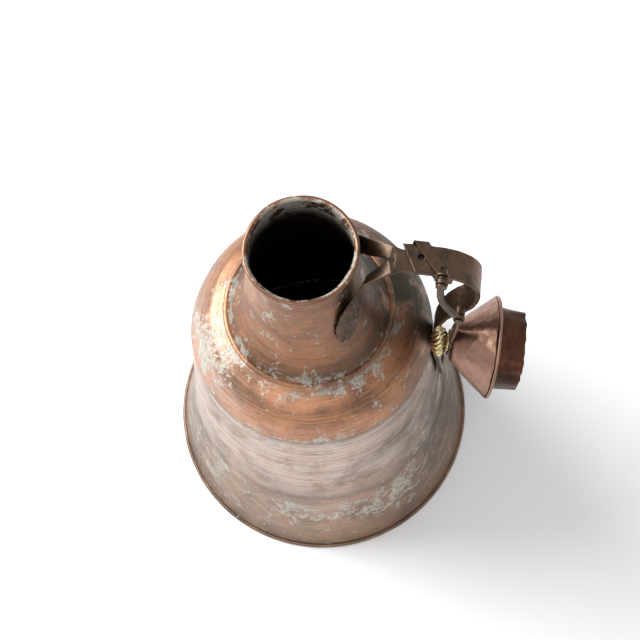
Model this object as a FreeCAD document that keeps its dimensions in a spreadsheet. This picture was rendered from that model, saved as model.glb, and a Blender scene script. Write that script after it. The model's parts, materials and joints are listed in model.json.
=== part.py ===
import FreeCAD, Part
import math
import os
import Sketcher

# Covered copper water jug with a forked strap handle and a conical cap that hangs from the
# handle on a two-bar hinge.  Millimetres, +Z up.  The origin is the centre of the underside
# of the base, and the handle points along +X.  The cap is stored swung open, beside the handle.

Vector = FreeCAD.Vector
doc = FreeCAD.newDocument("water_jug")

# ---------------------------------------------------------------- driving dimensions
DIMENSIONS = {
    "sheet_thickness": 1.3,       # raised copper sheet of the jug
    "foot_radius": 110.0,
    "foot_bead": 1.7,             # radius of the rolled hem at the foot
    "base_thickness": 1.3,
    "shoulder_radius": 79.3,
    "shoulder_height": 196.5,
    "seam_lap": 3.5,              # how far the body wall reaches up inside the shoulder
    "ridge_radius": 54.6,
    "ridge_height": 237.0,
    "ridge_bead": 1.4,
    "neck_seat_radius": 51.8,     # where neck and shoulder meet under the ridge
    "jug_height": 336.0,
    "mouth_bore_radius": 30.7,
    "mouth_bead": 1.6,            # radius of the rolled rim
    "rim_wire_radius": 0.9,
    "strap_width": 18.0,
    "leg_width": 15.4,
    "strap_thickness": 3.3,
    "fork_thickness": 2.6,
    "fork_arm_width": 14.0,
    "pad_spread": 46.0,           # degrees from the handle plane to each fork pad
    "clasp_length": 9.0,
    "clasp_slant": 0.77,          # how far the clasp runs along the strap as it crosses it
    "clasp_thickness": 1.3,
    "pivot_along": 81.5,
    "pivot_across": -14.0,
    "pivot_height": 334.0,
    "pivot_radius": 1.8,
    "running_clearance": 0.05,
    "hinge_lean_along": 0.086,    # the hinge pins are a little askew to the strap
    "hinge_lean_up": -0.084,
    "swing_open": 213.5,          # degrees the link turns from closed to parked
    "tilt_open": 62.8,            # degrees the cap turns on the link meanwhile
    "arm_reach": 46.5,            # from the cap's axis to the hinge of its arm
    "arm_offset": -3.6,           # the arm's eye is set over to the link's side
    "arm_width": 8.0,
    "arm_thickness": 2.0,
    "hinge_pin_radius": 1.5,
    "cap_seat_gap": 0.4,
    "cap_height": 26.5,
    "cap_radius": 32.4,
    "cap_tip_radius": 12.2,
    "cap_sheet": 1.1,
    "collar_radius": 26.0,
    "collar_depth": 16.5,
    "knob_radius": 10.0,
    "knob_height": 10.7,
    "knob_rivet_radius": 2.0,
}

dims = doc.addObject("Spreadsheet::Sheet", "Dims")
for row, (name, number) in enumerate(DIMENSIONS.items(), start=1):
    dims.set("A%d" % row, name)
    dims.set("B%d" % row, str(number))
    dims.setAlias("B%d" % row, name)
doc.recompute()


class Size:
    """A length that knows both its number and the spreadsheet formula that gives it."""

    def __init__(self, number, formula):
        self.number = number
        self.formula = formula

    def __add__(self, other):
        other = as_size(other)
        return Size(self.number + other.number, "(%s + %s)" % (self.formula, other.formula))

    def __sub__(self, other):
        other = as_size(other)
        return Size(self.number - other.number, "(%s - %s)" % (self.formula, other.formula))

    def __mul__(self, other):
        other = as_size(other)
        return Size(self.number * other.number, "(%s * %s)" % (self.formula, other.formula))


def as_size(value):
    if isinstance(value, Size):
        return value
    return Size(float(value), "%g" % value)


def size(name):
    """A driving dimension, for use in formulas."""
    return Size(float(dims.get(name)), "Dims.%s" % name)


def number(name):
    """A driving dimension as a plain number."""
    return float(dims.get(name))


# ---------------------------------------------------------------- helpers
def plane_of(body, role):
    for feature in body.Origin.OriginFeatures:
        if feature.Role == role:
            return feature
    raise ValueError(role)


def new_sketch(body, name, role):
    sketch = body.newObject("Sketcher::SketchObject", name)
    sketch.AttachmentSupport = [(plane_of(body, role), "")]
    sketch.MapMode = "FlatFace"
    return sketch


def draw_outline(sketch, outline):
    """Draw a closed outline and tie every corner to the spreadsheet.

    outline is a list of (x, y) corners; a corner may carry a third item, the middle point of
    an arc that leads to the next corner.
    """
    corners = []
    for corner in outline:
        corners.append((as_size(corner[0]), as_size(corner[1])))
    first = sketch.GeometryCount
    starts = []
    for index, corner in enumerate(outline):
        after = (index + 1) % len(corners)
        start = Vector(corners[index][0].number, corners[index][1].number, 0)
        end = Vector(corners[after][0].number, corners[after][1].number, 0)
        if len(corner) == 3:
            middle = Vector(as_size(corner[2][0]).number, as_size(corner[2][1]).number, 0)
            geometry, start_vertex = arc_through(start, middle, end)
        else:
            geometry, start_vertex = Part.LineSegment(start, end), 1
        sketch.addGeometry(geometry)
        starts.append(start_vertex)
    ends = [3 - vertex for vertex in starts]
    rules = []
    for index, corner in enumerate(corners):
        after = (index + 1) % len(corners)
        rules.append(Sketcher.Constraint(
            "Coincident", first + index, ends[index], first + after, starts[after]))
    for index, corner in enumerate(outline):
        if len(corner) == 3:
            arc = sketch.Geometry[first + index]
            rules.append(Sketcher.Constraint("Radius", first + index, arc.Radius))
    ties = len(rules)
    for index, corner in enumerate(corners):
        rules.append(Sketcher.Constraint(
            "DistanceX", -1, 1, first + index, starts[index], corner[0].number))
        rules.append(Sketcher.Constraint(
            "DistanceY", -1, 1, first + index, starts[index], corner[1].number))
    sketch.addConstraint(rules)
    for index, corner in enumerate(corners):
        sketch.setExpression("Constraints[%d]" % (ties + 2 * index), corner[0].formula)
        sketch.setExpression("Constraints[%d]" % (ties + 2 * index + 1), corner[1].formula)


def arc_through(start, middle, end):
    """An arc through three points, stored counter-clockwise, and which vertex is its start."""
    circle = Part.Arc(start, middle, end).toShape().Curve
    centre = circle.Center
    low = math.atan2(start.y - centre.y, start.x - centre.x)
    high = math.atan2(end.y - centre.y, end.x - centre.x)
    start_vertex = 1
    if (middle - start).cross(end - middle).z < 0:
        low, high = high, low
        start_vertex = 2
    if high < low:
        high += 2 * math.pi
    plain = Part.Circle(centre, Vector(0, 0, 1), circle.Radius)
    return Part.ArcOfCircle(plain, low, high), start_vertex


def turned(label, outline, placement=None):
    """A piece raised or turned about its own Z axis from the half outline (radius, height)."""
    body = doc.addObject("PartDesign::Body", label)
    body.Label = label
    sketch = new_sketch(body, label + "_outline", "XZ_Plane")
    draw_outline(sketch, outline)
    revolution = body.newObject("PartDesign::Revolution", label + "_revolution")
    revolution.Profile = sketch
    revolution.ReferenceAxis = (sketch, ["V_Axis"])
    revolution.Angle = 360.0
    body.Tip = revolution
    if placement is not None:
        body.Placement = placement
    return body


def ring(label, major, minor, height, placement=None):
    """A plain round ring about Z, its centre circle at the given height."""
    torus = doc.addObject("Part::Torus", label)
    torus.Label = label
    torus.setExpression("Radius1", major.formula)
    torus.setExpression("Radius2", minor.formula)
    lift = FreeCAD.Placement(Vector(0, 0, height.number), FreeCAD.Rotation())
    torus.Placement = lift if placement is None else placement.multiply(lift)
    return torus


def made_of(label, shape, placement=None):
    feature = doc.addObject("Part::Feature", label)
    feature.Label = label
    feature.Shape = shape
    if placement is not None:
        feature.Placement = placement
    return feature


def strap(stations, ruled=False):
    """A forged strap.  Each station is (centre, width way, flat normal, width, thickness)."""
    heading = stations[1][0] - stations[0][0]
    wires = []
    for centre, across, normal, width, thickness in stations:
        side = Vector(across).normalize() * (width / 2)
        up = Vector(normal).normalize() * (thickness / 2)
        # the section turns the same way round the strap's heading, so the solid faces outward
        if side.cross(up).dot(heading) < 0:
            side = side * -1
        points = [centre - side - up, centre + side - up, centre + side + up, centre - side + up]
        wires.append(Part.makePolygon(points + points[:1]))
        heading = side.cross(up)
    return Part.makeLoft(wires, True, ruled)


def curve_through(points):
    curve = Part.BSplineCurve()
    curve.interpolate(points)
    return curve


def stations_along(points, count):
    """Evenly spaced (point, tangent) pairs on a smooth curve through the points."""
    curve = curve_through(points)
    low, high = curve.FirstParameter, curve.LastParameter
    pairs = []
    for step in range(count + 1):
        at = low + (high - low) * step / count
        pairs.append((curve.value(at), curve.tangent(at)[0]))
    return pairs


# ---------------------------------------------------------------- jug shell
def make_jug_shell():
    sheet = size("sheet_thickness")
    foot = size("foot_radius")
    bead = size("foot_bead")
    shoulder = size("shoulder_radius")
    shoulder_z = size("shoulder_height")
    seat = size("neck_seat_radius")
    ridge_z = size("ridge_height")
    bore = size("mouth_bore_radius")
    top = size("jug_height")
    roll = size("mouth_bead")
    wire = size("rim_wire_radius")

    # flat bottom plate, let into the hem of the foot
    plate_radius = foot - bead * 2 - 0.1
    turned("base_plate", [
        (0, 0), (plate_radius, 0), (plate_radius, size("base_thickness")),
        (0, size("base_thickness"))])

    ring("foot_hem", foot - bead, bead, bead)

    # the wall below the shoulder flares slowly, then sweeps out to the foot
    lap = size("seam_lap")
    wall_top = shoulder_z + lap
    turned("lower_body", [
        (shoulder - 2.9, wall_top),
        (shoulder - 1.4, shoulder_z),
        (shoulder + 2.7, shoulder_z - 30.5),
        (shoulder + 6.2, shoulder_z - 63.5, (shoulder + 12.9, 78.0)),
        (foot - 9.0, 33.0, (foot - 6.5, 17.0)),
        (foot - 1.9, bead * 2 + 0.1),
        (foot - 1.9 - sheet, bead * 2 + 0.1, (foot - 6.5 - sheet, 17.4)),
        (foot - 9.0 - sheet, 33.5, (shoulder + 12.9 - sheet, 78.2)),
        (shoulder + 6.2 - sheet, shoulder_z - 63.5),
        (shoulder + 2.7 - sheet, shoulder_z - 30.5),
        (shoulder - 1.4 - sheet, shoulder_z),
        (shoulder - 2.9 - sheet, wall_top)])

    # domed shoulder with a short lip over the wall
    turned("shoulder_dome", [
        (seat, ridge_z - 1.6),
        (seat + 1.6, ridge_z - 3.6),
        (seat + 4.2, ridge_z - 5.0, (seat + 17.5, ridge_z - 13.2)),
        (shoulder - 2.6, ridge_z - 29.5),
        (shoulder, shoulder_z + 3.5),
        (shoulder + 0.1, shoulder_z + 0.1),
        (shoulder + 0.1 - sheet, shoulder_z + 0.1),
        (shoulder - sheet, shoulder_z + 3.4),
        (shoulder - 2.6 - sheet, ridge_z - 29.7, (seat + 16.9, ridge_z - 14.4)),
        (seat + 4.0, ridge_z - 6.4),
        (seat + 0.6, ridge_z - 4.6),
        (seat - sheet, ridge_z - 2.4)])

    ring("neck_seam", size("ridge_radius") - size("ridge_bead"), size("ridge_bead"), ridge_z)

    # flared neck; its top edge is rolled outward over a wire
    wall = sheet - 0.1
    wire_ring = bore + wall + wire
    wire_z = top - roll
    neck = turned("neck", [
        (bore, wire_z),
        (bore, 316.0, (bore + 1.3, 303.0)),
        (bore + 3.7, 290.0, (bore + 6.2, 272.0)),
        (bore + 11.0, 252.0, (bore + 13.9, 244.4)),
        (seat - 2.4, ridge_z + 1.4),
        (seat - 0.2, ridge_z + 0.3),
        (seat - 0.2, ridge_z + 1.7),
        (seat - 1.6, ridge_z + 2.4, (bore + 15.7, 245.6)),
        (bore + 12.5, 252.0, (bore + 7.6, 272.3)),
        (bore + 5.1, 290.0, (bore + 2.7, 303.3)),
        (bore + wall, 317.0),
        (bore + wall, wire_z - roll),
        (wire_ring - 0.35, wire_z - roll, (wire_ring + roll, wire_z)),
        (wire_ring, top, (bore + 0.6, top - 0.5))])
    hollow = doc.addObject("Part::Torus", "rim_wire_hollow")
    hollow.setExpression("Radius1", wire_ring.formula)
    hollow.setExpression("Radius2", (wire + 0.02).formula)
    hollow.Placement = FreeCAD.Placement(Vector(0, 0, wire_z.number), FreeCAD.Rotation())
    neck.Label = "neck_blank"
    rolled = doc.addObject("Part::Cut", "neck_rolled")
    rolled.Label = "neck"
    rolled.Base = neck
    rolled.Tool = hollow
    ring("rim_wire", wire_ring, wire, wire_z)
    return ["base_plate", "foot_hem", "lower_body", "shoulder_dome", "neck_seam", "neck", "rim_wire"]


# ---------------------------------------------------------------- handle
def wall_radius(height):
    """Outside radius of the body wall where the handle's leg lies on it."""
    below = number("shoulder_height") - height
    upper_flare = max(below, 0.0) * 4.1 / 30.5
    lower_ease = max(below - 30.5, 0.0) * 0.6 / 33
    return number("shoulder_radius") - 1.4 + upper_flare - lower_ease


def handle_path():
    """Centre line of the strap in the handle's own plane: over, round and down to the wall."""
    half = number("strap_thickness") / 2
    rest = half + 0.4
    points = [
        (57.0, 332.2), (68.0, 332.0), (79.0, 330.4), (88.0, 327.0), (96.0, 320.6),
        (101.6, 311.0), (103.4, 300.0), (102.2, 288.0), (97.6, 275.0), (90.8, 264.6),
        (85.6, 252.0), (82.3, 236.0), (81.2, 218.0),
        (number("shoulder_radius") + half + 0.35, 199.0),
        (wall_radius(178.0) + rest, 178.0),
        (wall_radius(159.0) + rest, 159.0),
        (wall_radius(140.0) + rest, 140.0)]
    return [Vector(x, 0, z) for x, z in points]


def make_handle():
    width = number("strap_width")
    thick = number("strap_thickness")
    across = Vector(0, 1, 0)
    stations = []
    for point, tangent in stations_along(handle_path(), 40):
        # the strap is a little narrower below its bend
        share = min(max((270.0 - point.z) / 24.0, 0.0), 1.0)
        local_width = width + (number("leg_width") - width) * share
        stations.append((point, across, tangent.cross(across), local_width, thick))
    handle = strap(stations)
    # the upper end is cut off on the skew
    skew = Part.makeBox(20, 40, 20, Vector(-20, -20, -10))
    skew.rotate(Vector(0, 0, 0), Vector(0, 0, 1), 24)
    skew.translate(Vector(61.5, 0, 332))
    handle = handle.cut(skew)
    spare_hole = Part.makeCylinder(1.7, 12, Vector(69.0, 1.5, 326))
    handle = handle.cut(spare_hole)

    # two rivets hold the leg to the wall
    shank_radius = 2.4
    rivets = []
    for height in (150.0, 171.0):
        face = wall_radius(height) + thick + 0.4
        start = wall_radius(height) - number("sheet_thickness") - 2.0
        outward = Vector(1, 0, 0)
        hole = Part.makeCylinder(shank_radius, 12, Vector(start - 2, 0, height), outward)
        handle = handle.cut(hole)
        shank = Part.makeCylinder(shank_radius, face - start, Vector(start, 0, height), outward)
        outer_head = dome(Vector(face, 0, height), outward, 4.6, 1.9)
        inner_head = dome(Vector(start, 0, height), outward * -1, 4.0, 1.2)
        rivets.append(shank.fuse(outer_head).fuse(inner_head).removeSplitter())
    made_of("handle_strap", handle)
    made_of("leg_rivets", Part.makeCompound(rivets))
    return ["handle_strap", "leg_rivets"]


def dome(base, axis, radius, height):
    """A shallow round rivet head standing on base along axis."""
    ball = (radius * radius + height * height) / (2 * height)
    centre = base - axis * (ball - height)
    sphere = Part.makeSphere(ball, centre)
    keep = Part.makeCylinder(radius + 1, height + 1, base, axis)
    return sphere.common(keep)


def neck_radius(height):
    """Outside radius of the neck under the fork's pads."""
    table = (
        (336.0, 32.0), (317.0, 32.0), (303.0, 33.4),
        (290.0, 35.8), (272.0, 38.4), (252.0, 43.2))
    for (high, r_high), (low, r_low) in zip(table, table[1:]):
        if height >= low:
            share = (height - low) / (high - low)
            return r_low + (r_high - r_low) * share
    return table[-1][1]


STEM_TOP = 329.7


def fork_arm(side):
    """One arm of the fork: from the stem under the strap down to a leaf-shaped pad on the neck."""
    spread = math.radians(number("pad_spread"))
    thick = number("fork_thickness")
    arm = number("fork_arm_width")
    places = []
    # the arm springs from the stem, lying flat under the strap
    for x, y, width in ((59.0, 3.3, arm * 0.42), (51.5, 4.6, arm * 0.62)):
        place = Vector(x, side * y, STEM_TOP - thick / 2)
        places.append((place, Vector(0.15, side, 0), width))
    # share of the spread, height, distance off the neck, width, how level the width lies
    steps = (
        (0.34, 320.0, 6.4, arm * 0.8, 0.6),
        (0.60, 308.5, 2.8, arm * 0.95, 0.35),
        (0.82, 297.0, 0.7, arm * 1.12, 0.15),
        (0.94, 286.0, 0.35, arm * 1.2, 0.0),
        (1.02, 277.0, 0.35, arm * 1.0, 0.0),
        (1.06, 270.0, 0.35, arm * 0.45, 0.0))
    for share, height, stand_off, width, slant in steps:
        angle = spread * share * side
        radius = neck_radius(height) + stand_off + thick / 2
        outward = Vector(math.cos(angle), math.sin(angle), 0)
        around = Vector(-math.sin(angle), math.cos(angle), 0) * side
        places.append((outward * radius + Vector(0, 0, height), around + Vector(0, 0, slant), width))
    stations = []
    for index, (place, width_way, width) in enumerate(places):
        before = places[max(index - 1, 0)][0]
        after = places[min(index + 1, len(places) - 1)][0]
        tangent = (after - before).normalize()
        normal = tangent.cross(width_way).normalize()
        stations.append((place, normal.cross(tangent), normal, width, thick - 0.2))
    return strap(stations, ruled=True)


def make_fork():
    stem_length = 19.0
    stem_width = 13.6
    stem_low = STEM_TOP - number("fork_thickness")
    stem = Part.makeBox(stem_length, stem_width, number("fork_thickness"),
                        Vector(54.0, -stem_width / 2, stem_low))
    fork = stem.fuse(fork_arm(1)).fuse(fork_arm(-1))
    if fork.Volume < 0:
        fork.reverse()
    made_of("handle_fork", fork)
    return ["handle_fork"]


# ---------------------------------------------------------------- clasp and hinge
def hinge_axis():
    return Vector(number("hinge_lean_along"), 1.0, number("hinge_lean_up")).normalize()


def pivot_point():
    return Vector(number("pivot_along"), number("pivot_across"), number("pivot_height"))


def closed_top():
    """Height of the cap's flat tip when it sits on the mouth."""
    return number("jug_height") + number("cap_seat_gap") + number("cap_height")


def closed_joint():
    """Where the link meets the cap's arm, with the cap closed."""
    return Vector(number("arm_reach"), number("arm_offset"), closed_top() + 2.4)


def link_parked():
    """Carries anything on the link from its closed place to its parked place."""
    return turn_about(pivot_point(), number("swing_open"))


def cap_parked():
    """Carries anything on the cap from its closed place to its parked place."""
    return link_parked().multiply(turn_about(closed_joint(), number("tilt_open")))


def turn_about(point, degrees):
    return FreeCAD.Placement(Vector(0, 0, 0), FreeCAD.Rotation(hinge_axis(), degrees), point)


def slanted_block(length, width, height, slant):
    """A block about the origin whose ends run back along X as they cross from -Y to +Y."""
    shift = slant * width / 2
    low = -height / 2
    corners = [
        Vector(shift - length / 2, -width / 2, low), Vector(shift + length / 2, -width / 2, low),
        Vector(length / 2 - shift, width / 2, low), Vector(-length / 2 - shift, width / 2, low)]
    face = Part.Face(Part.makePolygon(corners + corners[:1]))
    return face.extrude(Vector(0, 0, height))


def make_clasp():
    """A strip wound aslant round strap and fork stem, with an ear that carries the pivot."""
    width = number("strap_width")
    length = number("clasp_length")
    wall = number("clasp_thickness")
    gap = 0.12
    middle = Vector(75.5, 0, 329.2)
    slant = number("clasp_slant")
    inner_high = number("strap_thickness") + number("fork_thickness") + 1.9
    inner = slanted_block(length + 4, width + 2 * gap, inner_high, slant)
    outer = slanted_block(length, width + 2 * (gap + wall), inner_high + 2 * wall, slant)
    band = outer.cut(inner)
    band.rotate(Vector(0, 0, 0), Vector(0, 1, 0), 7)
    band.translate(middle)
    pivot = pivot_point()
    ear_y = -width / 2 - gap - wall
    ear = Part.makeBox(9.0, wall, 9.5, Vector(pivot.x - 4.5, ear_y, pivot.z - 8.4))
    ear_top = Part.makeCylinder(4.5, wall, Vector(pivot.x, ear_y, pivot.z), Vector(0, 1, 0))
    axis = hinge_axis()
    bore = Part.makeCylinder(number("pivot_radius"), 20, pivot - axis * 10, axis)
    clasp = band.fuse(ear).fuse(ear_top).removeSplitter().cut(bore)
    made_of("handle_clasp", clasp)

    # shouldered rivet: through the ear, standing out to carry the link
    radius = number("pivot_radius")
    inside = 4.9
    stud = Part.makeCylinder(radius, inside + 3.0, pivot - axis * 3.0, axis)
    shoulder = Part.makeCylinder(radius + 1.3, 1.1, pivot + axis * 2.0, axis)
    head = Part.makeCylinder(radius + 1.6, 1.2, pivot - axis * 3.2, axis)
    made_of("pivot_rivet", stud.fuse(shoulder).fuse(head).removeSplitter())
    return ["handle_clasp", "pivot_rivet"]


def make_link():
    """The short bowed link between the clasp and the cap's arm, made in the closed place."""
    axis = hinge_axis()
    pivot = pivot_point()
    joint = closed_joint()
    eye = number("pivot_radius") + 2.0
    clearance = number("running_clearance")
    link_half = 1.5
    beside_arm = 4.2
    bow_height = 5.0
    strip_width = 4.2
    top_eye = Part.makeCylinder(eye, 2 * link_half, pivot - axis * link_half, axis)
    eye_centre = joint - axis * beside_arm
    low_eye = Part.makeCylinder(eye - 0.3, 2 * link_half, eye_centre - axis * link_half, axis)
    # a strip that bows outward and steps across from one eye to the other
    span = eye_centre - pivot
    flat = span - axis * span.dot(axis)
    outward = flat.cross(axis).normalize()
    if outward.z < 0:
        outward = outward * -1
    stations = []
    for step in range(9):
        share = step / 8
        bow = bow_height * math.sin(math.pi * share)
        centre = pivot + span * share + outward * bow
        slope = span + outward * (bow_height * math.pi * math.cos(math.pi * share))
        normal = axis - slope * (axis.dot(slope) / slope.dot(slope))
        stations.append((centre, slope.cross(normal), normal, strip_width, 2 * link_half - 0.1))
    link = strap(stations).fuse(top_eye).fuse(low_eye)
    hole_top = Part.makeCylinder(number("pivot_radius") + clearance, 12, pivot - axis * 6, axis)
    hole_low = Part.makeCylinder(number("hinge_pin_radius") + 0.01, 12, eye_centre - axis * 6, axis)
    link = link.cut(hole_top).cut(hole_low).removeSplitter()
    made_of("cap_link", link, link_parked())

    pin_radius = number("hinge_pin_radius")
    pin = Part.makeCylinder(pin_radius, 9.2, joint - axis * 6.4, axis)
    near = Part.makeCylinder(pin_radius + 1.2, 1.0, joint - axis * 6.95, axis)
    far = Part.makeCylinder(pin_radius + 1.2, 1.0, joint + axis * 2.3, axis)
    made_of("link_pin", pin.fuse(near).fuse(far).removeSplitter(), link_parked())
    return ["cap_link", "link_pin"]


# ---------------------------------------------------------------- cap
def make_cap():
    """All pieces of the cap, made in the closed place and carried to the parked one."""
    parked = cap_parked()
    sheet = size("cap_sheet")
    seat = size("jug_height") + size("cap_seat_gap")
    tip = seat + size("cap_height")
    radius = size("cap_radius")
    tip_radius = size("cap_tip_radius")
    collar = size("collar_radius")
    bead = 1.2

    turned("cap_cone", [
        (size("knob_rivet_radius") + 0.02, tip - sheet),
        (tip_radius - 1.3, tip - sheet),
        (radius - 2.1, seat + 2.7),
        (radius - 0.9, seat + 2.7),
        (tip_radius, tip - 0.6),
        (tip_radius - 0.7, tip),
        (size("knob_rivet_radius") + 0.02, tip)], parked)
    ring("cap_rim_bead", radius - bead, as_size(bead), seat + bead, cap_parked())
    turned("cap_collar", [
        (collar, seat - size("collar_depth")),
        (collar, seat + 0.3),
        (radius - 2 * bead - 0.1, seat + 0.3),
        (radius - 2 * bead - 0.1, seat + 0.3 + sheet),
        (collar - sheet, seat + 0.3 + sheet),
        (collar - sheet, seat - size("collar_depth"))], parked)

    # flat arm: a round leaf under the knob, then a strap out to a rolled eye
    axis = hinge_axis()
    joint = closed_joint()
    thick = number("arm_thickness")
    top = closed_top()
    rivet = number("knob_rivet_radius")
    leaf = Part.makeCylinder(8.2, thick, Vector(0, 0, top + 0.02))
    reach = number("arm_reach")
    base_z = top + 0.02 + thick / 2
    stations = []
    width = number("arm_width")
    # share of the reach, width and lift of the strap on its way to the eye
    steps = (
        (0.1, width + 0.6, 0), (0.35, width + 0.4, 0), (0.6, width, 0.1),
        (0.8, width - 1.6, 0.5), (0.93, width - 4.1, 1.2))
    for share, local_width, lift in steps:
        aside = number("arm_offset") * share
        place = Vector(reach * share, aside, base_z + lift)
        stations.append((place, Vector(0, 1, 0), Vector(0, 0, 1), local_width, thick))
    arm = strap(stations)
    eye = Part.makeCylinder(3.3, 3.9, joint - axis * 1.95, axis)
    loose = number("hinge_pin_radius") + number("running_clearance")
    hole = Part.makeCylinder(loose, 12, joint - axis * 6, axis)
    rivet_hole = Part.makeCylinder(rivet + 0.02, 10, Vector(0, 0, top - 3))
    cap_arm = leaf.fuse(arm).fuse(eye).cut(hole).cut(rivet_hole).removeSplitter()
    made_of("cap_arm", cap_arm, cap_parked())

    # cast brass knob on a copper rivet, clenched over a washer inside the cap
    knob_base = tip + size("arm_thickness") + 0.05
    knob_radius = size("knob_radius")
    knob_top = knob_base + size("knob_height")
    turned("knob", [
        (size("knob_rivet_radius") + 0.02, knob_base),
        (knob_radius * 0.62, knob_base),
        (knob_radius * 0.66, knob_base + 1.6, (knob_radius * 0.95, knob_base + 2.9)),
        (knob_radius, knob_base + 4.9, (knob_radius * 0.84, knob_base + 8.2)),
        (knob_radius * 0.42, knob_top),
        (size("knob_rivet_radius") + 0.02, knob_top)], cap_parked())
    shank_low = closed_top() - 3.4
    shank_high = knob_top.number + 0.2
    shank = Part.makeCylinder(rivet, shank_high - shank_low, Vector(0, 0, shank_low))
    head = dome(Vector(0, 0, knob_top.number + 0.05), Vector(0, 0, 1), 3.1, 1.1)
    clench = dome(Vector(0, 0, shank_low + 0.5), Vector(0, 0, -1), 3.0, 1.2)
    made_of("knob_rivet", shank.fuse(head).fuse(clench).removeSplitter(), cap_parked())
    washer = Part.makeCylinder(5.4, 1.2, Vector(0, 0, closed_top() - 2.5))
    washer = washer.cut(Part.makeCylinder(rivet + 0.02, 5, Vector(0, 0, closed_top() - 5)))
    made_of("rivet_washer", washer, cap_parked())
    return ["cap_cone", "cap_rim_bead", "cap_collar", "cap_arm", "knob", "knob_rivet", "rivet_washer"]


NODES = make_jug_shell()
NODES += make_handle()
NODES += make_fork()
NODES += make_clasp()
NODES += make_link()
NODES += make_cap()
doc.recompute()

# ---------------------------------------------------------------- checks and export
def check_document():
    for item in doc.Objects:
        for state in item.State:
            if state in ("Invalid", "Error"):
                raise RuntimeError("%s failed to build: %s" % (item.Label, item.getStatusString()))


def piece(label):
    found = doc.getObjectsByLabel(label)
    if len(found) != 1:
        raise RuntimeError("%s: %d objects" % (label, len(found)))
    shape = found[0].Shape
    if shape.isNull() or not shape.isValid() or not shape.Solids:
        raise RuntimeError("%s has no valid solid" % label)
    return shape


check_document()
shapes = {}
for node in NODES:
    shapes[node] = piece(node)

os.makedirs("parts", exist_ok=True)
for node, shape in shapes.items():
    shape.exportStep("parts/%s.step" % node)
    print("%-14s %9.1f mm3  solids %d" % (node, shape.Volume, len(shape.Solids)))
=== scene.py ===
import json
import math
import bpy
from mathutils import Matrix, Vector, noise


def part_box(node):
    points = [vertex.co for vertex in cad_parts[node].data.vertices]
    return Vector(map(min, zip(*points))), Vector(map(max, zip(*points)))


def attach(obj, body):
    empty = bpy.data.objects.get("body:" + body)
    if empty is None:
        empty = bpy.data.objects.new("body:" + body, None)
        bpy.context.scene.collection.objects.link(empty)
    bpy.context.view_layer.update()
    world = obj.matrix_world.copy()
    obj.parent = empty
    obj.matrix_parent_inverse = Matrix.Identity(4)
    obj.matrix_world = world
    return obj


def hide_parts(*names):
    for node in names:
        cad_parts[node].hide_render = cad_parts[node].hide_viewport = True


# Copper water jug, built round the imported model.  Profiles are written in millimetres in the
# row's frame and turned into metres as the meshes are made.

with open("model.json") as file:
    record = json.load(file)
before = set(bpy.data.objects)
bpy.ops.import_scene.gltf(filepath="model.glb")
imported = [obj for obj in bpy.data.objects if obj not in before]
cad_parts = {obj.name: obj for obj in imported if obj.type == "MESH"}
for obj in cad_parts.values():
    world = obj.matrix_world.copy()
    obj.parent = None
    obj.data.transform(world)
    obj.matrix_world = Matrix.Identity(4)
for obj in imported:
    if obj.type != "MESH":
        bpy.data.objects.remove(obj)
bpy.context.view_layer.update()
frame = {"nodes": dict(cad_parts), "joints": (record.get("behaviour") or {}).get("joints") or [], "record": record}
MM = 0.001


def corners(node):
    """The low and high corner of a CAD node's box, in millimetres."""
    low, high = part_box(node)
    return Vector(low) / MM, Vector(high) / MM


def clamp(value):
    return min(max(value, 0.0), 1.0)


FOOT_HIGH = corners("foot_hem")[1]
WALL_TOP = corners("lower_body")[1].z
RIDGE_LOW, RIDGE_HIGH = corners("neck_seam")
JUG_TOP = corners("neck")[1].z
MOUTH_BORE = frame["record"]["mounts"][1]["dims"]["r_mm"]
SHEET = 1.3                # thickness of the jug's copper
MOUTH_BEAD = 1.6           # radius of the rolled rim
JUG_SEGMENTS = 384
NECK_SEGMENTS = 320
CAP_SEGMENTS = 224


# ---------------------------------------------------------------- the cap's two places
def turn_about(point, axis, degrees):
    spin = Matrix.Rotation(math.radians(degrees), 4, Vector(axis).normalized())
    return Matrix.Translation(point) @ spin @ Matrix.Translation(-Vector(point))


SWING, TILT = frame["joints"]
SWING_POINT = Vector(SWING["pos_m"])
TILT_POINT = Vector(TILT["pos_m"])


def parked_from_closed():
    """Carries the cap from its place on the mouth to the place where it hangs at rest."""
    closing = turn_about(SWING_POINT, SWING["axis"], SWING["range_deg"][1])
    tilting = turn_about(TILT_POINT, TILT["axis"], TILT["range_deg"][1])
    return (closing @ tilting).inverted()


PARKED = parked_from_closed()


# ---------------------------------------------------------------- mesh helpers
def add_object(name, mesh):
    obj = bpy.data.objects.new(name, mesh)
    bpy.context.scene.collection.objects.link(obj)
    return obj


def mesh_object(name, points, faces, matrix=None):
    """A smooth-shaded mesh from points in millimetres."""
    mesh = bpy.data.meshes.new(name)
    mesh.from_pydata([tuple(Vector(p) * MM) for p in points], [], faces)
    mesh.validate()
    mesh.shade_smooth()
    if matrix is not None:
        mesh.transform(matrix)
    mesh.update()
    return add_object(name, mesh)


def smooth_line(points, step):
    """Points every step along a Catmull-Rom curve through the given points."""
    points = [Vector(p) for p in points]
    line = [points[0]]
    for index in range(len(points) - 1):
        before = points[max(index - 1, 0)]
        start = points[index]
        end = points[index + 1]
        after = points[min(index + 2, len(points) - 1)]
        count = max(int((end - start).length / step + 0.5), 1)
        for part in range(1, count + 1):
            t = part / count
            line.append(0.5 * (2 * start + (end - before) * t
                               + (2 * before - 5 * start + 4 * end - after) * t * t
                               + (3 * start - before - 3 * end + after) * t * t * t))
    return line


def rounded(centre, radius, start, end, count):
    """Points on an arc in the profile plane, angles in degrees."""
    points = []
    for part in range(count + 1):
        angle = math.radians(start + (end - start) * part / count)
        spoke = Vector((math.cos(angle), math.sin(angle))) * radius
        points.append(Vector(centre) + spoke)
    return points


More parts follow.
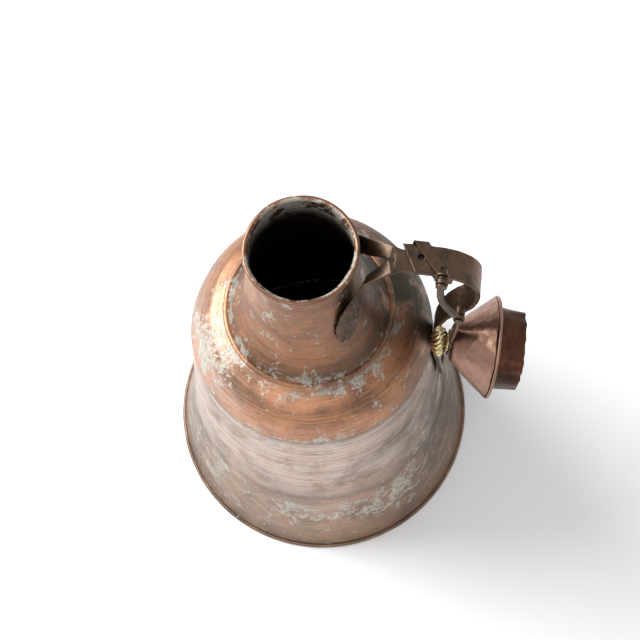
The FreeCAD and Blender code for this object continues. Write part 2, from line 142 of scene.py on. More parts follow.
def lathe(name, outline, segments, shift, matrix=None, wobble=None, hollow=True):
    """A turned shell.  outline is a closed (radius, height) loop, shift(angle, r, z, side) moves
    a point along the outline's outward normal and wobble(angle, r, z) gives a sideways push.
    hollow says that the side facing the axis is the inner face of the vessel, which is marked for near-black
    painted shade."""
    count = len(outline)
    area = 0.0
    for index in range(count):
        here, there = outline[index], outline[(index + 1) % count]
        area += here[0] * there[1] - there[0] * here[1]
    sign = 1 if area > 0 else -1
    normals = []
    for index in range(count):
        tangent = (outline[(index + 1) % count] - outline[index - 1]).normalized()
        normals.append(Vector((tangent[1], -tangent[0])) * sign)
    points = []
    inside = []
    for step in range(segments):
        angle = 2 * math.pi * step / segments
        cosine, sine = math.cos(angle), math.sin(angle)
        for (radius, height), normal in zip(outline, normals):
            push = shift(angle, radius, height, normal[0])
            r = radius + normal[0] * push
            z = height + normal[1] * push
            if wobble is not None:
                out, up = wobble(angle, radius, height)
                r += out
                z += up
            points.append((r * cosine, r * sine, z))
            # inner faces of hollow shells get full painted shade, darkened almost to black
            inside.append(1.0 if hollow and normal[0] < -0.3 else 0.0)
    faces = []
    for step in range(segments):
        after = (step + 1) % segments
        for index in range(count):
            above = (index + 1) % count
            here, there = step * count, after * count
            quad = (here + index, there + index, there + above, here + above)
            faces.append(quad if sign > 0 else quad[::-1])
    piece = mesh_object(name, points, faces, matrix)
    store(piece, "inside", inside)
    return piece


def store(piece, name, values):
    layer = piece.data.attributes.new(name, "FLOAT", "POINT")
    layer.data.foreach_set("value", values)


def soft_noise(x, y, z, scale, seed=0.0):
    """Smooth noise, about -1 to 1, whose features are scale millimetres across."""
    return noise.noise(Vector((x / scale + seed, y / scale - seed, z / scale + 2 * seed)))


def around(angle, radius, height):
    return radius * math.cos(angle), radius * math.sin(angle), height


def dents(angle, radius, height, size, depth, seed):
    """Broad soft dents."""
    x, y, z = around(angle, radius, height)
    return depth * soft_noise(x, y, z, size, seed)


def facets(angle, radius, height, size, depth, seed):
    """Planished hammer marks: shallow dishes with soft crests between them."""
    x, y, z = around(angle, radius, height)
    distances = noise.voronoi(Vector((x / size + seed, y / size, z / size)))[0]
    return -depth * (1.0 - min(distances[0], 1.0)) + depth * 0.5


def groove(height, centre, width, depth):
    gap = (height - centre) / width
    return -depth * math.exp(-gap * gap)


def forged(name, node, voxel, shift, smoothing=4):
    """A hand-forged version of a CAD piece: remeshed, its edges eased, its faces uneven."""
    source = frame["nodes"][node]
    obj = add_object(name, source.data.copy())
    obj.data.materials.clear()
    remesh = obj.modifiers.new("remesh", "REMESH")
    remesh.mode = "VOXEL"
    remesh.voxel_size = voxel * MM
    remesh.use_smooth_shade = True
    ease = obj.modifiers.new("ease", "SMOOTH")
    ease.factor = 0.5
    ease.iterations = smoothing
    evaluated = obj.evaluated_get(bpy.context.evaluated_depsgraph_get())
    mesh = bpy.data.meshes.new_from_object(evaluated)
    obj.modifiers.clear()
    obj.data = mesh
    places = [vertex.co.copy() for vertex in mesh.vertices]
    normals = [vertex.normal.copy() for vertex in mesh.vertices]
    for vertex, place, normal in zip(mesh.vertices, places, normals):
        vertex.co = place + normal * (shift(*(place / MM)) * MM)
    mesh.shade_smooth()
    mesh.update()
    return obj


def finish_piece(piece, body, slot, material, *nodes):
    piece.data.materials.clear()
    piece.data.materials.append(material)
    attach(piece, body)
    if nodes:
        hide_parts(*nodes)


# ---------------------------------------------------------------- materials
class Shader:
    """Builds one node material a step at a time."""

    def __init__(self, name):
        self.material = bpy.data.materials.new(name)
        self.material.use_nodes = True
        self.nodes = self.material.node_tree.nodes
        self.links = self.material.node_tree.links
        self.nodes.clear()
        self.output = self.nodes.new("ShaderNodeOutputMaterial")
        self.surface = self.nodes.new("ShaderNodeBsdfPrincipled")
        self.links.new(self.surface.outputs[0], self.output.inputs[0])
        self.place = self.nodes.new("ShaderNodeTexCoord").outputs["Object"]
        self.axes = self.nodes.new("ShaderNodeSeparateXYZ")
        self.links.new(self.place, self.axes.inputs[0])

    def feed(self, socket, value):
        if isinstance(value, bpy.types.NodeSocket):
            self.links.new(value, socket)
        else:
            socket.default_value = value

    def noise(self, scale, detail=4.0, roughness=0.6, stretch=None, distortion=0.0):
        vector = self.place
        if stretch is not None:
            mapping = self.nodes.new("ShaderNodeMapping")
            mapping.inputs["Scale"].default_value = stretch
            self.links.new(self.place, mapping.inputs[0])
            vector = mapping.outputs[0]
        node = self.nodes.new("ShaderNodeTexNoise")
        self.links.new(vector, node.inputs["Vector"])
        node.inputs["Scale"].default_value = scale
        node.inputs["Detail"].default_value = detail
        node.inputs["Roughness"].default_value = roughness
        node.inputs["Distortion"].default_value = distortion
        return node.outputs[0]

    def ramp(self, value, low, high):
        """Smooth 0 to 1 as value goes from low to high."""
        node = self.nodes.new("ShaderNodeMapRange")
        node.interpolation_type = "SMOOTHSTEP"
        node.inputs["From Min"].default_value = low
        node.inputs["From Max"].default_value = high
        self.feed(node.inputs["Value"], value)
        return node.outputs[0]

    def math(self, operation, first, second=0.0):
        node = self.nodes.new("ShaderNodeMath")
        node.operation = operation
        self.feed(node.inputs[0], first)
        self.feed(node.inputs[1], second)
        return node.outputs[0]

    def feed_colour(self, socket, value):
        self.feed(socket, value if isinstance(value, bpy.types.NodeSocket) else (*value, 1.0))

    def mix(self, share, first, second):
        node = self.nodes.new("ShaderNodeMix")
        node.data_type = "RGBA"
        self.feed(node.inputs["Factor"], share)
        self.feed_colour(node.inputs[6], first)
        self.feed_colour(node.inputs[7], second)
        return node.outputs[2]

    def attribute(self, name):
        node = self.nodes.new("ShaderNodeAttribute")
        node.attribute_name = name
        return node.outputs["Fac"]

    def rings(self, fineness, detail=3.0):
        """Scratches and spinning marks that run round the jug: noise of radius and height."""
        square_x = self.math("MULTIPLY", self.axes.outputs[0], self.axes.outputs[0])
        square_y = self.math("MULTIPLY", self.axes.outputs[1], self.axes.outputs[1])
        radius = self.math("SQRT", self.math("ADD", square_x, square_y))
        combine = self.nodes.new("ShaderNodeCombineXYZ")
        self.links.new(radius, combine.inputs[0])
        self.links.new(self.axes.outputs[2], combine.inputs[1])
        turn = self.math("ARCTAN2", self.axes.outputs[1], self.axes.outputs[0])
        self.links.new(self.math("MULTIPLY", self.math("SINE", turn), 0.003), combine.inputs[2])
        node = self.nodes.new("ShaderNodeTexNoise")
        self.links.new(combine.outputs[0], node.inputs["Vector"])
        node.inputs["Scale"].default_value = fineness
        node.inputs["Detail"].default_value = detail
        return node.outputs[0]

    def finish(self, colour, rough, metal, height=None, relief=0.3, reach=0.0003):
        self.feed(self.surface.inputs["Base Color"], colour)
        self.feed(self.surface.inputs["Roughness"], rough)
        self.feed(self.surface.inputs["Metallic"], metal)
        if height is not None:
            bump = self.nodes.new("ShaderNodeBump")
            bump.inputs["Strength"].default_value = relief
            bump.inputs["Distance"].default_value = reach
            self.links.new(height, bump.inputs["Height"])
            self.links.new(bump.outputs[0], self.surface.inputs["Normal"])
        return self.material


TIN = (0.60, 0.565, 0.49)
DULL_TIN = (0.26, 0.24, 0.20)
PALE_COPPER = (0.62, 0.50, 0.44)
# dark olive of the darkening attribute, painted shade in many places
GRIME_AND_SHADE = (0.060, 0.048, 0.034)
# near-black painted shade for the inner faces of hollow shells
INSIDE_SHADE = (0.012, 0.010, 0.008)


def old_copper(name, clean, dark, flakes=0.0, rough=(0.26, 0.46), ring=0.25, tin=TIN):
    """Aged copper.  Clean and dark metal lie in clouds with scratches run round the jug; a thin
    pale wash that holds a painted highlight and painted shade, flakes of tin, a dark olive darkening
    that is painted shade in many places, and near-black painted shade on inner faces come on top where the
    attributes of the mesh put them."""
    s = Shader(name)
    clouds = s.ramp(s.noise(26.0, 5.0, 0.62, distortion=0.3), 0.38, 0.62)
    blots = s.ramp(s.noise(170.0, 7.0, 0.78, (1.0, 1.0, 1.8), 0.8), 0.50, 0.66)
    specks = s.noise(520.0, 5.0, 0.72)
    scratch = s.rings(1500.0)
    colour = s.mix(clouds, dark, clean)
    darker = tuple(c * 0.42 for c in dark)
    colour = s.mix(s.math("MULTIPLY", blots, 0.5), colour, darker)
    bright = tuple(min(c * 1.4, 1.0) for c in clean)
    streak = s.math("MULTIPLY", s.ramp(scratch, 0.56, 0.66), ring * 2.0)
    colour = s.mix(streak, colour, bright)
    # the pale wash where the mesh's attribute puts it; that attribute also holds a painted highlight band on the
    # skirt and is held back as painted shade on the right side
    wash_and_sheen = s.math("MULTIPLY", s.attribute("pale"), s.ramp(s.noise(38.0, 6.0, 0.66), 0.30, 0.58))
    wash_and_sheen = s.math("MULTIPLY", wash_and_sheen, s.ramp(s.rings(700.0, 4.0), 0.25, 0.6))
    colour = s.mix(wash_and_sheen, colour, PALE_COPPER)
    broken = s.math("ADD", s.math("MULTIPLY", s.noise(70.0, 7.0, 0.74, distortion=0.6), 2.2),
                    s.math("MULTIPLY", s.noise(340.0, 6.0, 0.78), 1.7))
    cover = s.math("ADD", s.attribute("tin"), s.math("SUBTRACT", broken, 1.95 - flakes))
    washed = s.ramp(cover, 0.46, 0.56)
    tone = s.mix(s.ramp(specks, 0.38, 0.62), tuple(c * 0.62 for c in tin), tin)
    colour = s.mix(s.math("MULTIPLY", washed, 0.92), colour, tone)
    # darkening towards a dark olive where the mesh's attribute puts it: painted shade on the side away from the
    # lamp and in the creases by seams and lips, elsewhere darker tone; then near-black painted shade on inner
    # faces
    darkening = s.math("MULTIPLY", s.attribute("darkening"), s.ramp(s.noise(60.0, 6.0, 0.65), 0.25, 0.55))
    colour = s.mix(darkening, colour, GRIME_AND_SHADE)
    colour = s.mix(s.math("MULTIPLY", s.attribute("inside"), 0.93), colour, INSIDE_SHADE)
    level = s.math("ADD", s.math("MULTIPLY", specks, rough[1] - rough[0]), rough[0])
    level = s.math("ADD", level, s.math("MULTIPLY", washed, 0.18))
    darkened = s.math("ADD", darkening, s.attribute("inside"))
    level = s.math("ADD", level, s.math("MULTIPLY", darkened, 0.2))
    metal = s.math("SUBTRACT", 1.0, s.math("MULTIPLY", washed, 0.6))
    metal = s.math("SUBTRACT", metal, s.math("MULTIPLY", darkening, 0.3))
    height = s.math("ADD", s.math("MULTIPLY", scratch, 0.4), s.math("MULTIPLY", specks, 0.5))
    height = s.math("ADD", height, s.math("MULTIPLY", washed, 0.7))
    return s.finish(colour, level, metal, height, 0.35)


def knob_brass():
    s = Shader("worn_brass")
    darkening = s.ramp(s.noise(260.0, 5.0, 0.7), 0.46, 0.62)
    colour = s.mix(darkening, (0.70, 0.58, 0.33), (0.30, 0.22, 0.10))
    fine = s.noise(900.0, 4.0, 0.7)
    level = s.math("ADD", s.math("MULTIPLY", fine, 0.2), 0.18)
    return s.finish(colour, level, 1.0, fine, 0.15)


def floor_paint():
    s = Shader("pale_paper")
    tone = s.mix(s.noise(3.0), (0.90, 0.90, 0.905), (0.93, 0.93, 0.935))
    return s.finish(tone, 0.9, 0.0)


# ---------------------------------------------------------------- painted tin wash
def paint(piece, name, amount):
    """Stores an amount at each point of the mesh: amount(angle in degrees, r, z) in mm."""
    values = []
    for vertex in piece.data.vertices:
        x, y, z = vertex.co / MM
        values.append(amount(math.degrees(math.atan2(y, x)), math.hypot(x, y), z))
    store(piece, name, values)


def blob(angle, height, at_angle, at_height, wide, tall, strength):
    """A soft patch on a turned surface; wide is in degrees and tall in millimetres."""
    turn = (angle - at_angle + 180.0) % 360.0 - 180.0
    return strength * math.exp(-(turn / wide) ** 2 - ((height - at_height) / tall) ** 2)


# ---------------------------------------------------------------- jug
def make_wall():
    outer = smooth_line([
        (76.4, WALL_TOP), (77.9, 196.5), (79.6, 184.0), (82.0, 166.0),
        (85.5, 133.0), (92.2, 78.0), (101.0, 33.0), (103.7, 17.0), (107.9, 3.5)], 1.6)
    inner = [Vector((r - SHEET, z)) for r, z in reversed(outer)]

    def shift(angle, radius, height, side):
        push = dents(angle, radius, height, 55.0, 0.7, 3.1)
        push += dents(angle, radius, height, 21.0, 0.22, 8.0)
        push += facets(angle, radius, height, 9.0, 0.16, 1.3)
        for ring in (187.0, 181.0, 168.0, 154.0, 151.0, 118.0, 115.0):
            push += groove(height, ring, 0.9, 0.28)
        fade = clamp((height - 4.0) / 10.0) * clamp((200.0 - height) / 8.0)
        return push * fade * (1 if side > 0 else -1) - 0.25 * (side > 0)

    wall = lathe("body_wall", outer + inner, JUG_SEGMENTS, shift)
    paint(wall, "tin", lambda a, r, z: (
        0.17 + blob(a, z, -88, 192, 34, 8, 0.34) + blob(a, z, -90, 56, 24, 17, 0.30)
        + blob(a, z, -145, 84, 24, 34, 0.22) + blob(a, z, -140, 36, 30, 20, 0.20)
        + blob(a, z, -50, 54, 16, 26, 0.32) + blob(a, z, -30, 110, 16, 60, 0.16)
        + blob(a, z, -65, 20, 12, 14, -0.12) + blob(a, z, 175, 60, 40, 60, 0.14)
        + blob(a, z, 60, 90, 60, 60, 0.10)))
    # pale wash on the upper wall; the narrow band at the front at z 66 is a painted highlight where the skirt
    # turns, and the cut at the right side by the handle is painted shade
    paint(wall, "pale", lambda a, r, z: (
        clamp((z - 74.0) / 44.0) * 0.95 + blob(a, z, -90, 66, 40, 7, 0.35)
        - blob(a, z, 10, 120, 34, 90, 0.5)))
    # darkening: painted shade on the right side by the handle, away from the lamp, in the waist crease at z 86 and
    # under the shoulder's lap at z 194; also a light overall darkening, darker towards the bottom, and a patch at
    # the left
    paint(wall, "darkening", lambda a, r, z: (
        0.12 + blob(a, z, 8, 120, 36, 110, 0.85) + 0.35 * max(0.0, 1.0 - z / 16.0)
        + blob(a, z, 0, 86, 1000, 5, 0.30) + blob(a, z, 190, 60, 50, 60, 0.35)
        + blob(a, z, 0, 194, 1000, 4, 0.40)))
    return wall


def make_hem():
    tube = FOOT_HIGH.z / 2
    centre = (FOOT_HIGH.x - tube, tube)

    def shift(angle, radius, height, side):
        return -0.12 + dents(angle, radius, height, 14.0, 0.12, 5.0)

    hem = lathe("foot_roll", rounded(centre, tube, 0, 345, 23), JUG_SEGMENTS, shift, hollow=False)
    paint(hem, "tin", lambda a, r, z: 0.10)
    paint(hem, "darkening", lambda a, r, z: 0.45)
    return hem


def make_base():
    def shift(x, y, z):
        return -0.05 - 0.1 * abs(soft_noise(x, y, z, 30.0))

    base = forged("flat_base", "base_plate", 1.2, shift, 1)
    # the base is darkened, and its upper face, within the jug, is painted near-black as shade
    paint(base, "darkening", lambda a, r, z: 0.8)
    paint(base, "inside", lambda a, r, z: 1.0 if z > 0.6 else 0.0)
    return base


def make_shoulder():
    seat = 51.8
    outer = smooth_line([
        (seat, 235.3), (53.3, 233.6), (56.0, 232.2), (63.5, 228.3), (70.0, 222.0), (74.6, 214.5),
        (77.3, 206.5), (79.2, 200.0), (79.3, 196.8)], 1.0)
    inner = []
    for r, z in reversed(outer):
        inner.append(Vector((r - 0.75, z - 1.05)) if z > 205 else Vector((r - SHEET, z)))

    def shift(angle, radius, height, side):
        push = dents(angle, radius, height, 38.0, 0.55, 6.2)
        push += dents(angle, radius, height, 12.0, 0.16, 2.0)
        for ring in (230.6, 229.4, 224.0):
            push += groove(height, ring, 0.55, 0.22)
        edge = clamp((235.0 - height) / 3.0)
        return push * edge * (1 if side > 0 else -1) - 0.2 * (side > 0)

    def wobble(angle, radius, height):
        lip = max(0.0, 1.0 - (height - 196.8) / 4.0)
        x, y, z = around(angle, radius, 0.0)
        return 0.0, lip * 0.5 * (1 + soft_noise(x, y, z, 7.0, 4.0))

    shoulder = lathe("domed_shoulder", outer + inner, JUG_SEGMENTS, shift, wobble=wobble)
    paint(shoulder, "tin", lambda a, r, z: (
        0.14 + blob(a, z, 0, 233.5, 1000, 3.4, 0.34) + blob(a, z, -152, 220, 24, 12, 0.46)
        + blob(a, z, -172, 212, 30, 16, 0.22) + blob(a, z, -84, 201, 44, 4.5, 0.40)
        + blob(a, z, -40, 214, 16, 12, 0.16) + blob(a, z, 60, 225, 40, 12, 0.24)
        + blob(a, z, -100, 226, 30, 4, 0.16)))
    paint(shoulder, "pale", lambda a, r, z: blob(a, z, -150, 216, 40, 16, 0.6))
    # darkening: painted shade on the right side by the handle, away from the lamp, and beside the ridge bead at z
    # 236; also darker along the lap's edge at z 196.5, a patch at the back left and a light overall darkening
    paint(shoulder, "darkening", lambda a, r, z: (
        0.08 + blob(a, z, 24, 215, 44, 40, 1.1) + blob(a, z, 0, 236, 1000, 2.5, 0.5)
        + blob(a, z, 120, 215, 60, 40, 0.3) + blob(a, z, 0, 196.5, 1000, 3.0, 0.45)))
    return shoulder


def make_seam():
    """The raised ridge over the seam: a plump bead pressed down on neck and shoulder."""
    half_wide = 2.1
    half_high = (RIDGE_HIGH.z - RIDGE_LOW.z) / 2 + 0.15
    centre = (RIDGE_HIGH.x - half_wide, (RIDGE_HIGH.z + RIDGE_LOW.z) / 2 + 0.25)
    outline = []
    for unit in rounded((0, 0), 1.0, 0, 345, 23):
        outline.append(Vector((centre[0] + unit[0] * half_wide, centre[1] + unit[1] * half_high)))

    def shift(angle, radius, height, side):
        return dents(angle, radius, height, 9.0, 0.15, 7.0) - 0.08

    seam = lathe("ridge_bead", outline, JUG_SEGMENTS, shift, hollow=False)
    paint(seam, "tin", lambda a, r, z: (
        0.12 + 0.34 * max(0.0, (52.4 - r) / 1.6) + blob(a, z, -120, 237, 60, 9, 0.16)
        + 0.2 * max(0.0, (236.4 - z) / 1.2)))
    # the bead is darkened all round, with painted shade added on the right side away from the lamp
    paint(seam, "darkening", lambda a, r, z: 0.38 + blob(a, z, 20, 237, 50, 9, 0.5))
    return seam


def make_neck():
    wire_centre = (MOUTH_BORE + 2.1, JUG_TOP - MOUTH_BEAD)
    outer = smooth_line([
        (32.0, 330.6), (32.0, 324.0), (32.1, 316.0), (33.4, 303.0), (35.8, 290.0), (38.4, 272.0),
        (43.2, 252.0), (46.4, 245.4), (50.2, 239.8), (51.6, 238.4)], 1.0)
    roll = rounded(wire_centre, MOUTH_BEAD, -90, 110, 14)
    inner = smooth_line([
        (50.9, 237.4), (48.9, 238.9), (44.9, 244.6), (41.8, 252.0), (37.0, 272.0), (34.5, 290.0),
        (32.1, 303.0), (30.8, 316.0), (30.7, 325.0), (30.75, 334.6)], 1.4)
    outline = inner + roll[::-1] + outer

    def shift(angle, radius, height, side):
        push = dents(angle, radius, height, 26.0, 0.5, 1.0)
        push += dents(angle, radius, height, 9.0, 0.14, 9.0)
        push += facets(angle, radius, height, 6.0, 0.10, 3.0)
        for ring in (256.0, 253.6, 251.2, 248.8):
            push += groove(height, ring, 0.6, 0.42)
        fade = clamp((height - 238.5) / 4.0)
        if side < 0:
            return -push * fade - 0.15
        return push * fade * min(max((333.0 - height) / 6.0, 0.15), 1.0) - 0.15

    def wobble(angle, radius, height):
        near_rim = clamp((height - 322.0) / 12.0)
        x, y, z = around(angle, radius, 0.0)
        inward = 0.3 * near_rim * (1 + soft_noise(x, y, z, 22.0, 5.0))
        downward = 0.15 * near_rim * (1 + soft_noise(x, y, z, 9.0, 2.0))
        return -inward, -downward

    neck = lathe("neck_tube", outline, NECK_SEGMENTS, shift, wobble=wobble)

    paint(neck, "tin", lambda a, r, z: (
        0.18 + blob(a, z, -140, 285, 40, 34, 0.10) + blob(a, z, -110, 240, 70, 3.5, 0.34)
        + blob(a, z, 165, 241, 60, 5, 0.22) + blob(a, z, -120, 326, 60, 7, 0.16)
        + blob(a, z, 60, 290, 40, 40, 0.16)))
    # darkening: painted shade on the right side by the handle, away from the lamp, and just above the ridge bead
    # at z 242; also a patch at the back left and a light overall darkening
    paint(neck, "darkening", lambda a, r, z: (
        0.12 + blob(a, z, 26, 285, 46, 80, 1.1) + blob(a, z, 0, 242, 1000, 5, 0.45)
        + blob(a, z, 120, 285, 60, 60, 0.3)))
    # on the inner face the tinning near the rim is scaly and pale, and below it the bore is darkened and painted
    # near-black as shade that deepens downwards from the rim
    layers = neck.data.attributes
    for index, vertex in enumerate(neck.data.vertices):
        if layers["inside"].data[index].value > 0.5:
            height = vertex.co[2] / MM
            layers["tin"].data[index].value = 0.55 if height > 312.0 else 0.1
            layers["darkening"].data[index].value = 0.35
            layers["inside"].data[index].value = clamp((331.0 - height) / 14.0)
    return neck


# each copper: clean colour, dark colour, extra flakes, roughness, ring scratches, tin
COPPER = {
    "body": old_copper(
        "washed_copper", (0.36, 0.225, 0.15), (0.21, 0.14, 0.10), 0.03),
    "shoulder": old_copper(
        "scrubbed_copper", (0.50, 0.24, 0.13), (0.28, 0.15, 0.10), 0.0, ring=0.45),
    "neck": old_copper(
        "brown_copper", (0.40, 0.19, 0.105), (0.25, 0.13, 0.082), 0.0, ring=0.15),
    "handle": old_copper(
        "oiled_copper", (0.17, 0.105, 0.068), (0.065, 0.045, 0.032), -0.1, (0.28, 0.5), 0.0,
        DULL_TIN),
    "cap": old_copper(
        "hammered_copper", (0.40, 0.235, 0.175), (0.26, 0.15, 0.11), -0.3, (0.28, 0.46), 0.0),
    "collar": old_copper(
        "dark_copper", (0.12, 0.05, 0.03), (0.045, 0.027, 0.02), -0.25, (0.25, 0.45), 0.0),
}
BRASS = knob_brass()

finish_piece(make_wall(), "jug", "copper_body", COPPER["body"], "lower_body")
finish_piece(make_hem(), "jug", "copper_body", COPPER["body"], "foot_hem")
finish_piece(make_base(), "jug", "copper_body", COPPER["body"], "base_plate")
finish_piece(make_shoulder(), "jug", "copper_shoulder", COPPER["shoulder"], "shoulder_dome")
finish_piece(make_seam(), "jug", "copper_shoulder", COPPER["shoulder"], "neck_seam")
finish_piece(make_neck(), "jug", "copper_neck", COPPER["neck"], "neck")


# ---------------------------------------------------------------- handle, fork, clasp and link
def hammered(size, depth, seed):
    """Uneven hammer work whose marks are size millimetres across."""
    def shift(x, y, z):
        broad = soft_noise(x, y, z, size, seed)
        fine = soft_noise(x, y, z, size * 0.35, seed + 4)
        return depth * broad + depth * 0.5 * fine - depth * 0.6
    return shift


def brazed_pads(x, y, z):
    """The fork is smooth by the stem and lumpy where its pads are brazed to the neck."""
    rough = clamp((312.0 - z) / 14.0)
    lump = soft_noise(x, y, z, 3.2, 2.0) + 0.6 * soft_noise(x, y, z, 1.5, 5.0)
    return 0.12 * soft_noise(x, y, z, 6.0, 1.0) - 0.1 + rough * 0.55 * lump


FORGED = (
    ("strap", "handle_strap", "jug", "copper_handle", 0.55, hammered(9.0, 0.22, 1.0)),
    ("fork", "handle_fork", "jug", "copper_handle", 0.45, brazed_pads),
    ("clasp", "handle_clasp", "jug", "copper_handle", 0.32, hammered(5.0, 0.1, 3.0)),
    ("leg_rivet_pair", "leg_rivets", "jug", "copper_handle", 0.3, hammered(3.0, 0.14, 5.0)),
    ("ear_rivet", "pivot_rivet", "jug", "copper_handle", 0.18, hammered(2.5, 0.08, 6.0)),
    ("link", "cap_link", "link", "copper_handle", 0.28, hammered(4.0, 0.1, 7.0)),
    ("hinge_pin", "link_pin", "link", "iron_wire", 0.18, hammered(2.0, 0.06, 8.0)),
    ("arm", "cap_arm", "cap", "copper_handle", 0.25, hammered(4.0, 0.1, 9.0)),
    ("knob_shank", "knob_rivet", "cap", "copper_cap", 0.2, hammered(2.0, 0.08, 2.5)),
    ("inner_washer", "rivet_washer", "cap", "copper_cap", 0.25, hammered(3.0, 0.08, 3.5)),
    ("hidden_wire", "rim_wire", "jug", "iron_wire", 0.3, hammered(3.0, 0.04, 4.5)),
)
for name, node, body, slot, voxel, shift in FORGED:
    piece = forged(name, node, voxel, shift)
    paint(piece, "tin", lambda a, r, z: 0.22 if node == "handle_fork" and z < 318 else 0.02)
    paint(piece, "darkening", lambda a, r, z: 0.2 if z > 320 else 0.0)
    finish_piece(piece, body, slot, COPPER["handle"], node)


# ---------------------------------------------------------------- cap
# made closed, on the mouth, and carried to its parked place
CAP_SEAT = JUG_TOP + 0.4   # height of the cap's rim when it is closed
CAP_HEIGHT = 26.5
CAP_RADIUS = 32.4
CAP_TIP = 12.2
COLLAR_RADIUS = 26.0
COLLAR_DEPTH = 16.5
ARM_THICKNESS = 2.0
KNOB_RADIUS = 10.0
KNOB_HEIGHT = 10.7
RIVET_RADIUS = 2.0


def make_cap_cone():
    top = CAP_SEAT + CAP_HEIGHT
    outer = smooth_line([(RIVET_RADIUS + 0.1, top), (CAP_TIP - 1.0, top)], 1.0)
    outer += smooth_line([(CAP_TIP, top - 0.6), (CAP_RADIUS - 0.9, CAP_SEAT + 2.7)], 0.9)
    inner = smooth_line([(CAP_RADIUS - 2.1, CAP_SEAT + 2.7), (CAP_TIP - 1.3, top - 1.1)], 0.9)
    inner += smooth_line([(CAP_TIP - 2.0, top - 1.1), (RIVET_RADIUS + 0.1, top - 1.1)], 1.0)

    def shift(angle, radius, height, side):
        push = facets(angle, radius, height, 6.0, 0.45, 2.0)
        push += dents(angle, radius, height, 16.0, 0.45, 4.0)
        fade = clamp((radius - CAP_TIP) / 4.0)
        return push * fade * (1 if side > 0 else -1) - 0.12

    cone = lathe("cap_shell", outer + inner, CAP_SEGMENTS, shift, PARKED)
    return cone


def make_cap_bead():
    tube = 1.2

    def shift(angle, radius, height, side):
        return -0.12 + dents(angle, radius, height, 8.0, 0.14, 3.0)

    outline = rounded((CAP_RADIUS - tube, CAP_SEAT + tube), tube, 0, 340, 17)
    return lathe("cap_edge_roll", outline, CAP_SEGMENTS, shift, PARKED, hollow=False)


def make_cap_collar():
    low = CAP_SEAT - COLLAR_DEPTH
    flange = CAP_RADIUS - 2.5
    outer = smooth_line([(COLLAR_RADIUS, low), (COLLAR_RADIUS, CAP_SEAT - 0.4)], 0.9)
    outer += smooth_line([(COLLAR_RADIUS + 0.7, CAP_SEAT + 0.3), (flange, CAP_SEAT + 0.3)], 0.9)
    inner = smooth_line([(flange, CAP_SEAT + 1.4), (COLLAR_RADIUS - 0.4, CAP_SEAT + 1.4)], 0.9)
    inner += smooth_line([(COLLAR_RADIUS - 1.1, CAP_SEAT + 0.7), (COLLAR_RADIUS - 1.1, low)], 0.9)

    def shift(angle, radius, height, side):
        return -0.1

    def wobble(angle, radius, height):
        edge = clamp((CAP_SEAT - height) / COLLAR_DEPTH)
        x, y, z = around(angle, radius, height)
        dent = soft_noise(x, y, 0.0, 9.0, 1.7) - 0.25
        ragged = edge ** 3 * 0.6 * (1 + soft_noise(x, y, 0.0, 4.0, 3.3))
        return edge * 2.4 * min(dent, 0.12) - 0.4 * edge, ragged

    return lathe("cap_plug", outer + inner, CAP_SEGMENTS, shift, PARKED, wobble)


def make_knob():
    base = CAP_SEAT + CAP_HEIGHT + ARM_THICKNESS + 0.05
    high = base + KNOB_HEIGHT
    outer = smooth_line([
        (KNOB_RADIUS * 0.60, base), (KNOB_RADIUS * 0.62, base + 1.4),
        (KNOB_RADIUS * 0.86, base + 2.8), (KNOB_RADIUS * 0.98, base + 4.9),
        (KNOB_RADIUS * 0.90, base + 7.4), (KNOB_RADIUS * 0.66, base + 9.4),
        (KNOB_RADIUS * 0.40, high - 0.2)], 0.35)
    inner = smooth_line([(RIVET_RADIUS + 0.1, high - 0.2), (RIVET_RADIUS + 0.1, base)], 0.8)

    def shift(angle, radius, height, side):
        share = max(0.0, (radius - RIVET_RADIUS - 1.5) / KNOB_RADIUS)
        swirl = angle + 0.10 * (height - base)
        flute = abs(math.sin(7 * swirl))
        x, y, z = around(angle, radius, height)
        crumple = share * 0.35 * soft_noise(x, y, z, 2.4, 2.0)
        return -share * (1.5 * (1 - flute) ** 1.5) - 0.15 + crumple

    return lathe("gadrooned_knob", outer + inner, CAP_SEGMENTS, shift, PARKED, hollow=False)


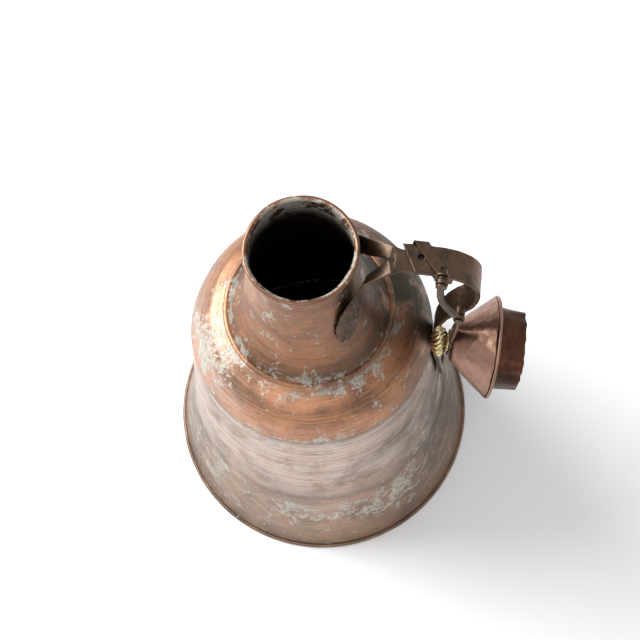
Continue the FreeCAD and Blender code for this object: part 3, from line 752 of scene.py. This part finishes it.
for piece, slot, material, node in (
        (make_cap_cone(), "copper_cap", COPPER["cap"], "cap_cone"),
        (make_cap_bead(), "copper_cap", COPPER["cap"], "cap_rim_bead"),
        (make_cap_collar(), "copper_cap", COPPER["collar"], "cap_collar"),
        (make_knob(), "brass_knob", BRASS, "knob")):
    paint(piece, "tin", lambda a, r, z: 0.0)
    finish_piece(piece, "cap", slot, material, node)


# ---------------------------------------------------------------- stage, light and camera
def make_stage():
    half = 3.0
    mesh = bpy.data.meshes.new("floor")
    points = [(-half, -half, 0), (half, -half, 0), (half, half, 0), (-half, half, 0)]
    mesh.from_pydata(points, [], [(0, 1, 2, 3)])
    floor = add_object("floor", mesh)
    mesh.materials.append(floor_paint())


def area_light(name, place, target, size, power):
    light = bpy.data.lights.new(name, "AREA")
    light.shape = "DISK"
    light.size = size
    light.energy = power
    obj = add_object(name, light)
    obj.location = place
    obj.rotation_euler = (Vector(target) - Vector(place)).to_track_quat("-Z", "Y").to_euler()
    return obj


def make_camera():
    """Looks steeply down on the jug from in front, rolled a little so that the jug leans left."""
    place = Vector((0.0721, -0.3108, 1.1302))
    heading = math.radians(12.0)
    pitch = math.radians(70.9)
    roll = math.radians(7.26)
    across = Vector((math.cos(heading), math.sin(heading), 0.0))
    level = Vector((-math.sin(heading), math.cos(heading), 0.0))
    ahead = level * math.cos(pitch) - Vector((0.0, 0.0, math.sin(pitch)))
    upward = across.cross(ahead)
    side = across * math.cos(roll) - upward * math.sin(roll)
    top = across * math.sin(roll) + upward * math.cos(roll)
    camera = bpy.data.cameras.new("camera")
    camera.lens = 84.4
    camera.sensor_width = 36.0
    obj = add_object("camera", camera)
    turn = Matrix((side, top, -ahead)).transposed()
    obj.matrix_world = Matrix.Translation(place) @ turn.to_4x4()
    bpy.context.scene.camera = obj


make_stage()
area_light("window", (-1.0, 0.35, 1.1), (0.0, 0.0, 0.15), 1.0, 30.0)
area_light("fill", (-0.2, -1.1, 1.2), (0.0, 0.0, 0.15), 1.2, 5.0)
make_camera()

world = bpy.data.worlds.new("studio")
world.use_nodes = True
world.node_tree.nodes["Background"].inputs[0].default_value = (1.0, 1.0, 1.0, 1.0)
world.node_tree.nodes["Background"].inputs[1].default_value = 0.62
bpy.context.scene.world = world
bpy.context.scene.view_settings.view_transform = "Standard"
